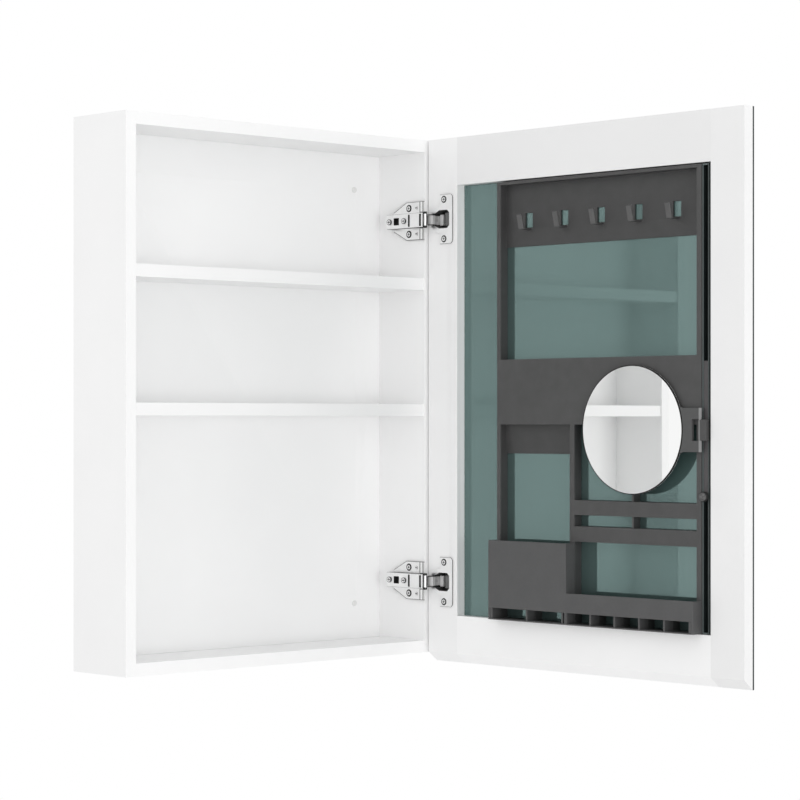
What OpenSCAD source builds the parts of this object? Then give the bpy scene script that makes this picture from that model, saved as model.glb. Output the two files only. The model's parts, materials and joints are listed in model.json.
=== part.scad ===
// Wall-hung mirror cabinet, shown with its door open at a right angle.
// Units are millimetres. X runs to the right, Y towards the wall and Z up.
// The origin is the centre of the back face, in the middle of the four wall screw holes.

/* [Case] */
// Width over the side panels
case_w = 500; // [480:1:560]
// Height of the case
case_h = 650; // [640:1:720]
// Depth of the case from the front edges to the wall
case_d = 98; // [94:1:130]
// Thickness of the sides, top, bottom and shelves
board_t = 15; // [13:0.5:18]
// Thickness of the back panel
back_t = 15; // [12:0.5:18]
// Height of the underside of the lower shelf above the bottom of the case
lower_shelf_z = 300; // [290:1:330]
// Distance of the underside of the upper shelf below the top of the case
upper_shelf_drop = 190; // [185:1:210]
// Distance of the shelf fronts behind the front edges of the case
shelf_setback = 2; // [2:0.5:10]
// Diameter of the wooden dowels that join the boards
dowel_d = 8; // [6:0.5:8]
// Length of the wooden dowels between the boards
dowel_len = 26; // [20:1:26]

/* [Wall fixing] */
// Distance between the wall screw holes, left to right
wall_hole_x = 380; // [300:1:400]
// Distance between the wall screw holes, bottom to top
wall_hole_z = 530; // [420:1:550]
// Diameter of the wall screw holes
wall_hole_d = 4.6; // [4:0.1:5.2]
// Diameter of the recess for the screw head
wall_recess_d = 6.4; // [6:0.1:9]
// Diameter of the cover cap over a screw head
cap_d = 7.4; // [7:0.1:12]

/* [Door] */
// Thickness of the white door frame
frame_t = 15; // [14.5:0.5:20]
// Thickness of the mirror on the outer face
mirror_t = 3; // [2:0.5:4]
// Thickness of the tinted mirror inside the frame
back_mirror_t = 2; // [1.5:0.5:2.5]
// Width of the stile on the hinge side
hinge_stile_w = 50; // [46:1:60]
// Width of the stile on the free side
free_stile_w = 48; // [40:1:60]
// Height of the top rail
top_rail_h = 60; // [50:1:70]
// Height of the bottom rail above the bottom of the case
bottom_rail_h = 49; // [40:1:60]
// How far the mirror reaches below the case as a finger pull
pull_drop = 11; // [5:1:16]

/* [Hinges] */
// Height of the lower hinge above the bottom of the case
lower_hinge_z = 90.5; // [80:0.5:110]
// Distance of the upper hinge below the top of the case
upper_hinge_drop = 101.5; // [94:0.5:130]
// Diameter of the cup bore in the door
cup_d = 35; // [34:0.5:35]
// Distance between the edge of the door and the edge of the cup bore
cup_tab = 4; // [3.9:0.1:4.2]
// Depth of the cup bore
cup_depth = 12.8; // [12.5:0.1:13]
// Distance between the two cup screws
cup_screw_pitch = 49.8; // [48:0.1:52]
// Distance between the two screws of a mounting plate
plate_screw_pitch = 33; // [32:0.5:34]

/* [Organiser] */
// Width of bare tinted mirror between the hinge stile and the organiser
bare_mirror_w = 68.5; // [60:0.5:72]
// Width of the guide channel between the organiser and the free stile
channel_w = 13.1; // [12.8:0.1:14]
// Thickness of the side walls of the organiser
org_wall = 2; // [1.6:0.1:2.2]
// Thickness of the front faces of the organiser
org_face = 2.5; // [2:0.1:3]
// Width of the left rim
org_rim_left = 6; // [5:0.5:8]
// Width of the right rim
org_rim_right = 7; // [6:0.5:8]
// Height of the solid band across the middle
band_h = 80; // [70:1:90]
// Height of the lower edge of the middle band
band_z = 289.4; // [285:0.1:292]
// Height of the hook panel with its rim
hook_panel_h = 80.5; // [78:0.5:90]
// Number of hooks
hook_count = 5; // [3:1:5]
// Distance between two hooks
hook_pitch = 58; // [52:1:60]
// Width of a hook
hook_w = 8; // [6:0.5:10]
// How far the tray stands out in front of the organiser
tray_out = 15.5; // [10:0.5:18]
// Wall thickness of the tray
tray_wall = 2.5; // [2:0.1:3]
// Top edge of the deep pocket on the left of the tray
tray_left_top = 147; // [120:1:148]
// Top edge of the long shallow part of the tray
tray_right_top = 87.5; // [80:0.5:100]

/* [Round mirror] */
// Diameter of the round mirror with its rim
dish_d = 152; // [140:1:156]
// Height of the middle of the round mirror
dish_z = 283.3; // [282:0.1:285]
// Thickness of the dish behind the round mirror
dish_t = 0.9; // [0.7:0.05:0.9]
// Thickness of the round mirror's glass
dish_glass_t = 1.5; // [1.2:0.1:1.5]
// Width of the dark rim around the round mirror
dish_rim = 1; // [0.8:0.1:3]
// Length of the arm from the rod to the middle of the round mirror
mirror_reach = 100.5; // [98:0.5:104]
// Diameter of the rod in the mirror's hinge
rod_d = 2; // [1.8:0.1:2.2]
// Distance of the knob below the middle of the round mirror
knob_drop = 76.3; // [60:0.1:80]
// Distance of the slider's upper end above the middle of the round mirror
slider_rise = 79.3; // [60:0.1:90]
// Diameter of the knob
knob_d = 11.2; // [10:0.1:12]

/* [Hidden] */

$fn = 48;
eps = 0.05;

// Clearances
fit_gap = 0.05;
running_gap = 0.05;
glass_gap = 0.2;
part_gap = 0.3;

// Case
inner_w = case_w - 2 * board_t;
panel_x = case_w - board_t;
upper_shelf_z = case_h - upper_shelf_drop;
back_y = case_d - back_t;
dowel_inset_y = [22, 64];

// Door
door_w = case_w;
stile_open_u1 = door_w - free_stile_w;
open_z0 = bottom_rail_h;
open_z1 = case_h - top_rail_h;
bevel_top = 1;
mirror_n0 = frame_t;
back_mirror_n0 = frame_t - back_mirror_t;
rail_dowel_d = 6;
rail_dowel_len = 40;
rail_dowel_inset = 15;
rail_dowel_pitch = 24;

// Door hinge: pivots in plan, as [x, y] in the case and [u, n] in the door.
// u runs along the door from its hinge edge and n runs into the door from its inner face.
hinge_z = [lower_hinge_z, case_h - upper_hinge_drop];
open_x = panel_x + 3.4;
open_y = -3.67;
cup_pivot_un = [7.9, 3.2];
arm_pivot = [panel_x - 7.1, -7.6];
rear_pivot = [panel_x - 7.5, -1.5];
pin_r = 1.2;
cup_pin_r = 1;
cup_u = cup_tab + cup_d / 2;
cup_wall = 0.4;
cup_open_half = 11.5;
cup_mouth_half = 7.7;
cup_mouth_n1 = 5.3;
cup_mouth_u = cup_u - 9.5;
cup_open_u0 = cup_u - 2;
cup_open_u1 = cup_u + 15.7;
cup_open_corner = 3.6;
flange_t = 1.2;
flange_h = 62.5;
flange_u0 = cup_u - 0.5;
flange_u1 = cup_u + 21.2;
cup_screw_u = cup_u + 6.5;
cup_lift = 0.2;

// Hinge arm: a folded channel over the mounting plate
arm_w = 18.5;
arm_t = 1.5;
arm_x = panel_x - 11;
arm_back_y = 60.4;
arm_nose_r = 2.6;
arm_nose_y = arm_pivot[1] + 0.8;
arm_hole_y0 = 35.7;
arm_hole_len = 9.6;
arm_hole_half = 4.6;
arm_slit_y0 = 16.6;
arm_slit_len = 2.3;
groove_depth = 4;
plate_t = 2.5;
plate_h = 48.4;
plate_y0 = 0.3;
plate_y1 = 53;
plate_shoulder_y = 30.4;
plate_tail_h = 25;
plate_screw_y = 26;
plate_peg_y = 12.6;
arm_front_screw_y = 26.8;
arm_rear_screw_y = 53;
arm_screw_y = [arm_front_screw_y, arm_rear_screw_y];
arm_screw_d = 4.2;
screw_head_d = 6.6;
screw_head_t = 1.2;
arm_screw_head_d = 7.4;
screw_shank_d = 3.6;
screw_ring = 1;
screw_sink = 0.6;
plate_screw_len = 8.5;
cup_screw_len = 11;
peg_d = 4.4;
peg_len = 6.5;
peg_head_d = 5;
peg_head_t = 0.6;
pin_head_r = 2.2;
pin_head_t = 1.1;

// Links of the hinge, in the case with the door open
cup_pivot = [open_x + cup_pivot_un[1], open_y - cup_pivot_un[0]];
inner_link_half = 5.6;
outer_cheek_z0 = inner_link_half + part_gap;
outer_cheek_z1 = outer_cheek_z0 + 1.1;
barrel_r = 2.3;
link_eye_r = 1.7;
link_elbow = [open_x - 1.9, open_y - 8.6];
inner_elbow = [open_x - 2.7, open_y - 9];
inner_end = [open_x + 2.4, open_y - 8.5];

// Organiser, in the door's coordinates
opening_gap = 0.2;
org_u0 = hinge_stile_w + bare_mirror_w;
org_u1 = stile_open_u1 - 2 * opening_gap - channel_w;
org_z0 = open_z0 + 0.5;
org_z1 = open_z1 - 1.5;
org_depth = back_mirror_n0 - 0.1;
org_top_rim = 4;
in_u0 = org_u0 + org_rim_left;
in_u1 = org_u1 - org_rim_right;
hook_panel_z0 = org_z1 - hook_panel_h;
hook_panel_z1 = org_z1 - org_top_rim;
panel_n0 = 11;
pocket_bay_w = 119.5;
divider_w = 7.5;
divider_u0 = org_u0 + pocket_bay_w;
divider_u1 = divider_u0 + divider_w;
left_panel_h = 35.7;
left_panel_z0 = band_z - left_panel_h;
cell_rim = 1.5;
cell_h = 13;
floor_t = 2;
cell_z0 = org_z0 + cell_rim;
cell_z1 = cell_z0 + cell_h;
floor_z1 = cell_z1 + floor_t;
bar_b_rise = 83;
bar_b_h = 18.5;
bar_gap = 13.5;
bar_a_h = 17.8;
bar_b_z0 = floor_z1 + bar_b_rise;
bar_b_z1 = bar_b_z0 + bar_b_h;
bar_a_z0 = bar_b_z1 + bar_gap;
bar_a_z1 = bar_a_z0 + bar_a_h;
partition_t = 3;
partition_shift = 3;
partition_u0 = (divider_u1 + in_u1) / 2 - partition_shift - partition_t / 2;
partition_n0 = 1;
hook_window_w = 11.8;
hook_window_h = 18;
hook_window_drop = 57.5;
hook_window_z0 = org_z1 - hook_window_drop;
hook_window_z1 = hook_window_z0 + hook_window_h;
hook_bar_t = 2;
cell_fin = 2.5;
left_cells = 2;
right_cells = 5;
small_cell_w = 3.6;
small_cell_u0 = divider_u0 + 2.4;

// Guide channel, slider and round mirror, in the door's coordinates
channel_u0 = org_u1 + opening_gap;
channel_u1 = stile_open_u1 - opening_gap;
channel_n0 = 1.6;
channel_wall = 1;
channel_lip = 2;
channel_end = 2;
slot_w = 6.6;
slot_u0 = channel_u0 + 1.5;
slot_u1 = slot_u0 + slot_w;
slot_u = (slot_u0 + slot_u1) / 2;
slot_edge = 1.4;
rod_u = slot_u0 - 1.4;
rod_n = -2.5;
knuckle_r = 2;
clip_half = 12.1;
clip_reach = 10.2;
knuckle_half = 25.4;
clip_z0 = dish_z - clip_half;
clip_z1 = dish_z + clip_half;
knuckle_z0 = dish_z - knuckle_half;
knuckle_z1 = dish_z + knuckle_half;
dish_u = rod_u - mirror_reach;
stile_gap = 0.3;
dish_n1 = 2 * rod_n + stile_gap + dish_t + dish_glass_t;
dish_n0 = dish_n1 - dish_t;
slider_n0 = channel_n0 + 0.3;
flange_n0 = channel_n0 + channel_lip + part_gap;
knob_z = dish_z - knob_drop;
knob_stem_d = 3.4;
slider_z0 = knob_z - 3.7;
slider_z1 = dish_z + slider_rise;

// Moves from case corner coordinates (left, front, bottom) to the part's origin.
module in_case() {
    translate([-case_w / 2, -case_d, -case_h / 2]) children();
}

// Places door coordinates (along, into, up) in the case, with the door open at a right angle.
module in_door() {
    in_case() translate([open_x, open_y, 0]) rotate([0, 0, -90]) children();
}

// A box from its low corner to its high corner.
module span(a, b) {
    translate(a) cube(b - a);
}

// Extrudes an outline drawn in the (across, up) plane along the first axis.
module along_x(x0, len) {
    translate([x0, 0, 0]) rotate([90, 0, 90]) linear_extrude(len) children();
}

// A round bar along the second axis, from its front end.
module bar_y(p, d, len) {
    translate(p) rotate([-90, 0, 0]) cylinder(d = d, h = len);
}

// A round bar along the first axis.
module bar_x(p, d, len) {
    translate(p) rotate([0, 90, 0]) cylinder(d = d, h = len);
}

// ---- Case ----

// Dowel places: the depth positions of the dowels at each board end.
function board_joints() = [
    board_t / 2,
    case_h - board_t / 2,
    lower_shelf_z + board_t / 2,
    upper_shelf_z + board_t / 2
];

// Dowels at one side, sunk by the same depth in the side panel and in the board end.
module side_dowels(x, extra) {
    for (z = board_joints(), y = dowel_inset_y)
        bar_x([x - dowel_len / 2 + dowel_sink_shift(x), y, z], dowel_d + extra, dowel_len + extra);
}

// The dowel sits less deep in the side panel than in the board end.
function dowel_sink_shift(x) = (x < case_w / 2 ? 1 : -1) * (dowel_len / 2 - board_t + 5);

module side_panel(x) {
    difference() {
        translate([x, 0, 0]) cube([board_t, case_d, case_h]);
        side_dowels(board_t, 2 * fit_gap);
        side_dowels(panel_x, 2 * fit_gap);
    }
}

module cross_board(z, y0, depth) {
    difference() {
        translate([board_t, y0, z]) cube([inner_w, depth, board_t]);
        side_dowels(board_t, 2 * fit_gap);
        side_dowels(panel_x, 2 * fit_gap);
    }
}

module left_side() {
    color("white") in_case() side_panel(0);
}

module right_side() {
    color("white") in_case() difference() {
        side_panel(panel_x);
        at_hinges() plate_fasteners(2 * fit_gap, 1);
    }
}

module top_board() {
    color("white") in_case() cross_board(case_h - board_t, 0, case_d);
}

module bottom_board() {
    color("white") in_case() cross_board(0, 0, case_d);
}

module upper_shelf() {
    color("white") in_case() cross_board(upper_shelf_z, shelf_setback, back_y - shelf_setback);
}

module lower_shelf() {
    color("white") in_case() cross_board(lower_shelf_z, shelf_setback, back_y - shelf_setback);
}

module case_dowels() {
    color("burlywood") in_case() {
        side_dowels(board_t, 0);
        side_dowels(panel_x, 0);
    }
}

module wall_holes() {
    for (sx = [-1, 1], sz = [-1, 1])
        translate([case_w / 2 + sx * wall_hole_x / 2, 0, case_h / 2 + sz * wall_hole_z / 2]) children();
}

module back_panel() {
    recess = 4;
    color("white") in_case() difference() {
        translate([board_t, back_y, board_t]) cube([inner_w, back_t, case_h - 2 * board_t]);
        wall_holes() {
            bar_y([0, back_y - 1, 0], wall_hole_d, back_t + 2);
            bar_y([0, back_y - 1, 0], wall_recess_d, recess + 1);
        }
    }
}

module wall_screw_caps() {
    cap_t = 1.2;
    plug_len = 1.5;
    color("white") in_case() wall_holes() {
        bar_y([0, back_y - cap_t, 0], cap_d, cap_t);
        bar_y([0, back_y - eps, 0], wall_recess_d - 2 * fit_gap, plug_len + eps);
    }
}

// ---- Concealed hinges ----

module at_hinges() {
    for (z = hinge_z) translate([0, 0, z]) children();
}

module plate_outline() {
    polygon([
        [plate_y0, -plate_h / 2], [plate_shoulder_y, -plate_h / 2],
        [plate_y1, -plate_tail_h / 2], [plate_y1, plate_tail_h / 2],
        [plate_shoulder_y, plate_h / 2], [plate_y0, plate_h / 2]
    ]);
}

// Screws and pegs of one mounting plate, along the first axis into the side panel.
module plate_fasteners(extra, length_extra) {
    for (s = [-1, 1]) {
        bar_x([panel_x - plate_t - eps, plate_screw_y, s * plate_screw_pitch / 2],
              screw_shank_d + extra, plate_t + plate_screw_len + length_extra);
        bar_x([panel_x - plate_t - eps, plate_peg_y, s * plate_screw_pitch / 2],
              peg_d + extra, plate_t + peg_len + length_extra);
    }
}

module cross_slot(d, depth) {
    for (a = [0, 90]) rotate([a, 0, 0]) translate([-0.01, -d / 2, -0.5]) cube([depth, d, 1]);
}

module hinge_plates() {
    lip_y1 = plate_y0 + 5.6;
    lip_rise = 1;
    block_x = arm_x + arm_t + 0.1;
    block_half = arm_w / 2 - arm_t - 0.25;
    block_y0 = 8;
    color("silver") in_case() at_hinges() difference() {
        union() {
            along_x(panel_x - plate_t, plate_t) plate_outline();
            for (s = [-1, 1]) {
                z0 = arm_w / 2 + 0.5;
                z1 = plate_h / 2;
                span([panel_x - plate_t - lip_rise, plate_y0, s > 0 ? z0 : -z1],
                     [panel_x - plate_t + eps, lip_y1, s > 0 ? z1 : -z0]);
            }
            span([block_x, block_y0, -block_half], [panel_x - plate_t + eps, plate_y1 + 3, block_half]);
        }
        plate_fasteners(2 * fit_gap, 1);
        for (s = [-1, 1])
            bar_x([panel_x - plate_t - 1, plate_screw_y, s * plate_screw_pitch / 2],
                  screw_head_d + 2 * screw_ring, 1 + screw_sink);
        for (y = arm_screw_y) bar_x([arm_x, y, 0], arm_screw_d + 2 * fit_gap, 7.6);
        span([block_x - 1, arm_hole_y0, -arm_hole_half],
             [block_x + groove_depth, arm_hole_y0 + arm_hole_len, arm_hole_half]);
        span([block_x - 1, arm_slit_y0, -arm_w],
             [block_x + groove_depth, arm_slit_y0 + arm_slit_len, arm_w]);
    }
}

module plate_screws() {
    head_x = panel_x - plate_t + screw_sink - screw_head_t;
    color("silver") in_case() at_hinges() difference() {
        union() {
            plate_fasteners(0, 0);
            for (s = [-1, 1]) {
                bar_x([head_x, plate_screw_y, s * plate_screw_pitch / 2], screw_head_d, screw_head_t);
                bar_x([panel_x - plate_t - peg_head_t, plate_peg_y, s * plate_screw_pitch / 2],
                      peg_head_d, peg_head_t);
            }
        }
        for (s = [-1, 1]) {
            translate([head_x, plate_screw_y, s * plate_screw_pitch / 2]) cross_slot(3.6, 0.9);
            translate([panel_x - plate_t - peg_head_t, plate_peg_y, s * plate_screw_pitch / 2])
                cross_slot(3, 0.5);
        }
    }
}

// Side wall of the hinge arm: from the nose at the front pivot to the tail.
module arm_cheek_outline() {
    translate(arm_pivot) circle(r = arm_nose_r);
    polygon([
        [arm_x, arm_nose_y], [arm_pivot[0] - arm_nose_r, arm_pivot[1]],
        [arm_pivot[0] + arm_nose_r, arm_pivot[1]], [panel_x - plate_t - 0.3, 1],
        [panel_x - plate_t - 0.3, arm_back_y - 6], [arm_x + 3, arm_back_y], [arm_x, arm_back_y]
    ]);
}

module hinge_arms() {
    web_y0 = rear_pivot[1] + 0.9;
    tail_chamfer = 4;
    bridge_t = 0.9;
    bridge_len = 2.8;
    color("silver") in_case() at_hinges() difference() {
        union() {
            for (s = [-1, 1])
                translate([0, 0, s * (arm_w - arm_t) / 2])
                    linear_extrude(arm_t, center = true) arm_cheek_outline();
            span([arm_x, web_y0, -arm_w / 2], [arm_x + arm_t, arm_back_y, arm_w / 2]);
            span([arm_x, arm_nose_y, -arm_w / 2], [arm_x + bridge_t, arm_nose_y + bridge_len, arm_w / 2]);
        }
        for (p = [arm_pivot, rear_pivot])
            translate([p[0], p[1], -arm_w]) cylinder(r = pin_r + 0.02, h = 2 * arm_w);
        for (y = arm_screw_y) bar_x([arm_x - 1, y, 0], arm_screw_d + 4 * fit_gap, 4);
        span([arm_x - 1, arm_hole_y0, -arm_hole_half],
             [arm_x + arm_t + 0.1, arm_hole_y0 + arm_hole_len, arm_hole_half]);
        span([arm_x - 1, arm_slit_y0, -arm_w / 2 + arm_t],
             [arm_x + arm_t + 0.1, arm_slit_y0 + arm_slit_len, arm_w / 2 - arm_t]);
        for (s = [-1, 1]) translate([arm_x, arm_back_y, s * arm_w / 2]) rotate([45, 0, 0])
            cube([4 * arm_w, tail_chamfer, tail_chamfer], center = true);
    }
}

module arm_screws() {
    color("silver") in_case() at_hinges() for (y = arm_screw_y) translate([arm_x, y, 0]) difference() {
        union() {
            bar_x([-screw_head_t, 0, 0], arm_screw_head_d, screw_head_t);
            bar_x([-eps, 0, 0], arm_screw_d, 7.4);
        }
        translate([-screw_head_t, 0, 0]) cross_slot(4.6, 0.9);
    }
}

module arm_pins() {
    color("dimgray") in_case() at_hinges() for (p = [arm_pivot, rear_pivot]) {
        translate([p[0], p[1], -arm_w / 2 - eps]) cylinder(r = pin_r, h = arm_w + 2 * eps);
        for (s = [-1, 1]) translate([p[0], p[1], s * (arm_w / 2 + pin_head_t / 2)])
            cylinder(r = pin_head_r, h = pin_head_t, center = true);
    }
}

// A bent strip in plan: straight lengths of one width that join slightly fuller round bends.
module link_outline(points, half_w) {
    bend_swell = 0.12;
    for (i = [1 : len(points) - 1]) translate(points[i]) circle(r = half_w + bend_swell);
    for (i = [0 : len(points) - 2]) {
        run = points[i + 1] - points[i];
        translate(points[i]) rotate(atan2(run[1], run[0]))
            translate([0, -half_w]) square([norm(run), 2 * half_w]);
    }
}

module outer_link() {
    barrel_half = arm_w / 2 - arm_t - 0.3;
    cheek_t = outer_cheek_z1 - outer_cheek_z0;
    difference() {
        union() {
            translate([arm_pivot[0], arm_pivot[1], -barrel_half])
                cylinder(r = barrel_r, h = 2 * barrel_half);
            for (s = [-1, 1])
                translate([0, 0, s * (outer_cheek_z0 + cheek_t / 2)])
                    linear_extrude(cheek_t, center = true) {
                        link_outline([arm_pivot, link_elbow, cup_pivot], 1.2);
                        translate(cup_pivot) circle(r = link_eye_r);
                    }
        }
        translate([arm_pivot[0], arm_pivot[1], -arm_w]) cylinder(r = pin_r + running_gap, h = 2 * arm_w);
        translate([cup_pivot[0], cup_pivot[1], -arm_w])
            cylinder(r = cup_pin_r + running_gap, h = 2 * arm_w);
    }
}

module outer_links() {
    color("dimgray") in_case() at_hinges() outer_link();
}

module inner_link() {
    eye_r = 1.9;
    difference() {
        linear_extrude(2 * inner_link_half, center = true) {
            translate(rear_pivot) circle(r = eye_r);
            link_outline([rear_pivot, inner_elbow, inner_end], 0.75);
        }
        translate([rear_pivot[0], rear_pivot[1], -arm_w]) cylinder(r = pin_r + running_gap, h = 2 * arm_w);
    }
}

module inner_links() {
    color("dimgray") in_case() at_hinges() inner_link();
}

// Outline of the cup's opening: a narrow mouth for the links, then a wide part with cut corners.
module cup_opening() {
    corner = cup_open_corner;
    polygon([
        [0, -cup_mouth_half], [cup_mouth_u, -cup_mouth_half], [cup_open_u0, -cup_open_half],
        [cup_open_u1 - corner, -cup_open_half], [cup_open_u1, -cup_open_half + corner],
        [cup_open_u1, cup_open_half - corner], [cup_open_u1 - corner, cup_open_half],
        [cup_open_u0, cup_open_half], [cup_mouth_u, cup_mouth_half], [0, cup_mouth_half]
    ]);
}

// Inside of the cup, and the notch in its wall that the links pass through.
module cup_hollow() {
    floor_n = cup_depth - cup_lift - cup_wall;
    intersection() {
        bar_y([cup_u, -flange_t - 1, 0], cup_d - 2 * cup_lift - 2 * cup_wall, floor_n + flange_t + 1);
        by_depth(-flange_t - 2, floor_n + 1) cup_opening();
    }
    by_depth(-flange_t - 2, 0) cup_opening();
    span([0, -flange_t - 2, -cup_mouth_half], [cup_mouth_u, cup_mouth_n1, cup_mouth_half]);
}

module flange_outline() {
    corner = 5;
    for (s = [-1, 1]) translate([flange_u1 - corner, s * (flange_h / 2 - corner)]) circle(r = corner);
    polygon([
        [flange_u0, -flange_h / 2], [flange_u1 - corner, -flange_h / 2],
        [flange_u1, -flange_h / 2 + corner],
        [flange_u1, flange_h / 2 - corner], [flange_u1 - corner, flange_h / 2], [flange_u0, flange_h / 2]
    ]);
}

// A lug beside the mouth of the cup, with the pin that carries the outer link.
module cup_lug() {
    pin_z0 = outer_cheek_z0;
    lug_z0 = outer_cheek_z1 + part_gap;
    translate([cup_pivot_un[0], cup_pivot_un[1], pin_z0])
        cylinder(r = cup_pin_r, h = lug_z0 - pin_z0 + 1.4);
    intersection() {
        bar_y([cup_u, 0, 0], cup_d - 2 * cup_lift, cup_depth - cup_lift);
        span([0, cup_pivot_un[1] - 1.9, lug_z0], [cup_pivot_un[0] + 2.2, cup_pivot_un[1] + 2.2, cup_d / 2]);
    }
}

module hinge_cup() {
    difference() {
        union() {
            difference() {
                union() {
                    bar_y([cup_u, -flange_t, 0], cup_d - 2 * cup_lift, cup_depth - cup_lift + flange_t);
                    rotate([90, 0, 0]) linear_extrude(flange_t) flange_outline();
                }
                cup_hollow();
            }
            cup_lug();
            mirror([0, 0, 1]) cup_lug();
        }
        for (s = [-1, 1]) {
            bar_y([cup_screw_u, -flange_t - 1, s * cup_screw_pitch / 2], screw_shank_d + 4 * fit_gap, 3);
            bar_y([cup_screw_u, -flange_t - 1, s * cup_screw_pitch / 2],
                  screw_head_d + 2 * screw_ring - 0.4, 1 + screw_sink);
        }
    }
}

module hinge_cups() {
    color("silver") in_door() at_hinges() hinge_cup();
}

// Spring housing of the hinge: a tall block and a low block on the floor of the cup.
// Each has its length along the door, its front face and its half height.
module cup_springs() {
    floor_n = cup_depth - cup_lift - cup_wall - fit_gap;
    tall = [9.2, 2.5, 8];
    tall_u0 = cup_u + 5.3;
    low = [5.8, 9.5, 6.9];
    low_u0 = cup_u - 10.7;
    color("gray") in_door() at_hinges() {
        span([tall_u0, tall[1], -tall[2]], [tall_u0 + tall[0], floor_n, tall[2]]);
        span([low_u0, low[1], -low[2]], [low_u0 + low[0], floor_n, low[2]]);
    }
}

module cup_screws() {
    head_t = 1.1;
    color("silver") in_door() at_hinges() for (s = [-1, 1])
        translate([cup_screw_u, -flange_t + screw_sink, s * cup_screw_pitch / 2]) difference() {
            union() {
                bar_y([0, -head_t, 0], screw_head_d, head_t);
                bar_y([0, -eps, 0], screw_shank_d, cup_screw_len);
            }
            for (a = [0, 90]) rotate([0, a, 0]) translate([-1.9, -head_t - 0.1, -0.5]) cube([3.8, 0.9, 1]);
        }
}

// ---- Door frame and mirrors ----

// Section of the door's frame, cut on a slope at the bottom for the fingers.
module frame_section(z0, z1) {
    z_low = z0 > 0 ? z0 : bevel_top;
    z_low_outer = z0 > 0 ? z0 : -pull_drop;
    polygon([[0, z_low], [frame_t, z_low_outer], [frame_t, z1], [0, z1]]);
}

function rail_dowel_z() = [
    open_z0 - rail_dowel_inset, open_z0 - rail_dowel_inset - rail_dowel_pitch,
    open_z1 + rail_dowel_inset, case_h - rail_dowel_inset
];

module rail_dowel_bars(extra) {
    for (u = [hinge_stile_w, stile_open_u1], z = rail_dowel_z())
        bar_x([u - rail_dowel_len / 2, frame_t / 2, z], rail_dowel_d + extra, rail_dowel_len + extra);
}

module hinge_stile() {
    color("white") in_door() difference() {
        along_x(0, hinge_stile_w) frame_section(0, case_h);
        rail_dowel_bars(2 * fit_gap);
        at_hinges() {
            bar_y([cup_u, -1, 0], cup_d, cup_depth + 1);
            for (s = [-1, 1])
                bar_y([cup_screw_u, -1, s * cup_screw_pitch / 2],
                      screw_shank_d + 2 * fit_gap, cup_screw_len + 1);
        }
    }
}

module free_stile() {
    color("white") in_door() difference() {
        along_x(stile_open_u1, free_stile_w) frame_section(0, case_h);
        rail_dowel_bars(2 * fit_gap);
    }
}

module rail(z0, z1) {
    difference() {
        along_x(hinge_stile_w, stile_open_u1 - hinge_stile_w) frame_section(z0, z1);
        rail_dowel_bars(2 * fit_gap);
    }
}

module top_rail() {
    color("white") in_door() rail(open_z1, case_h);
}

module bottom_rail() {
    color("white") in_door() rail(0, open_z0);
}

module rail_dowels() {
    color("burlywood") in_door() rail_dowel_bars(0);
}

module front_mirror() {
    color("lightsteelblue") in_door()
        span([0, mirror_n0, -pull_drop], [door_w, mirror_n0 + mirror_t, case_h]);
}

module back_mirror() {
    color("cadetblue") in_door() span(
        [hinge_stile_w + glass_gap, back_mirror_n0, open_z0 + glass_gap],
        [stile_open_u1 - glass_gap, frame_t, open_z1 - glass_gap]);
}

// ---- Organiser ----

function fin_cells(u0, u1, count, fin) = [
    for (i = [0 : count - 1])
        let (w = (u1 - u0 - (count - 1) * fin) / count)
        [u0 + i * (w + fin), u0 + i * (w + fin) + w]
];

function cell_spans() = concat(
    fin_cells(in_u0, divider_u0 - 0.7, left_cells, cell_fin),
    [[small_cell_u0, small_cell_u0 + small_cell_w]],
    fin_cells(divider_u1 + 1.2, in_u1, right_cells, cell_fin)
);

// Openings through the organiser, each as [left, bottom, right, top].
function frame_openings() = concat(
    [
        [in_u0, band_z + band_h, in_u1, org_z1 - org_top_rim],
        [in_u0, floor_z1, divider_u0, band_z],
        [divider_u1, floor_z1, in_u1, bar_b_z0],
        [divider_u1, bar_b_z1, in_u1, bar_a_z0],
        [divider_u1, bar_a_z1, in_u1, band_z]
    ],
    [for (c = cell_spans()) [c[0], cell_z0, c[1], cell_z1]]
);

// The organiser's front outline: grown openings leave a rim that is thinner by the given amount.
module organiser_outline(inset) {
    difference() {
        translate([org_u0 + inset, org_z0 + inset])
            square([org_u1 - org_u0 - 2 * inset, org_z1 - org_z0 - 2 * inset]);
        for (o = frame_openings())
            translate([o[0] - inset, o[1] - inset])
                square([o[2] - o[0] + 2 * inset, o[3] - o[1] + 2 * inset]);
    }
}

// Extrudes a front outline from one depth to another.
module by_depth(n0, n1) {
    translate([0, n1, 0]) rotate([90, 0, 0]) linear_extrude(n1 - n0) children();
}

function hook_u(i) = (in_u0 + in_u1) / 2 + (i - (hook_count - 1) / 2) * hook_pitch;

// One hook: a short bar out of the panel and a tongue that leans away from it.
module hook(u) {
    bar_z = hook_window_z0 - 3;
    tip = [-6.5, hook_window_z1 - 3];
    along_x(u - hook_w / 2, hook_w) polygon([
        [panel_n0 + 0.5, bar_z], [-2.5, bar_z], [-3.5, bar_z + 1], [tip[0] - 1, tip[1]],
        [tip[0] + 0.8, tip[1] + 0.6], [-1.2, bar_z + hook_bar_t], [panel_n0 + 0.5, bar_z + hook_bar_t]
    ]);
}

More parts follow.
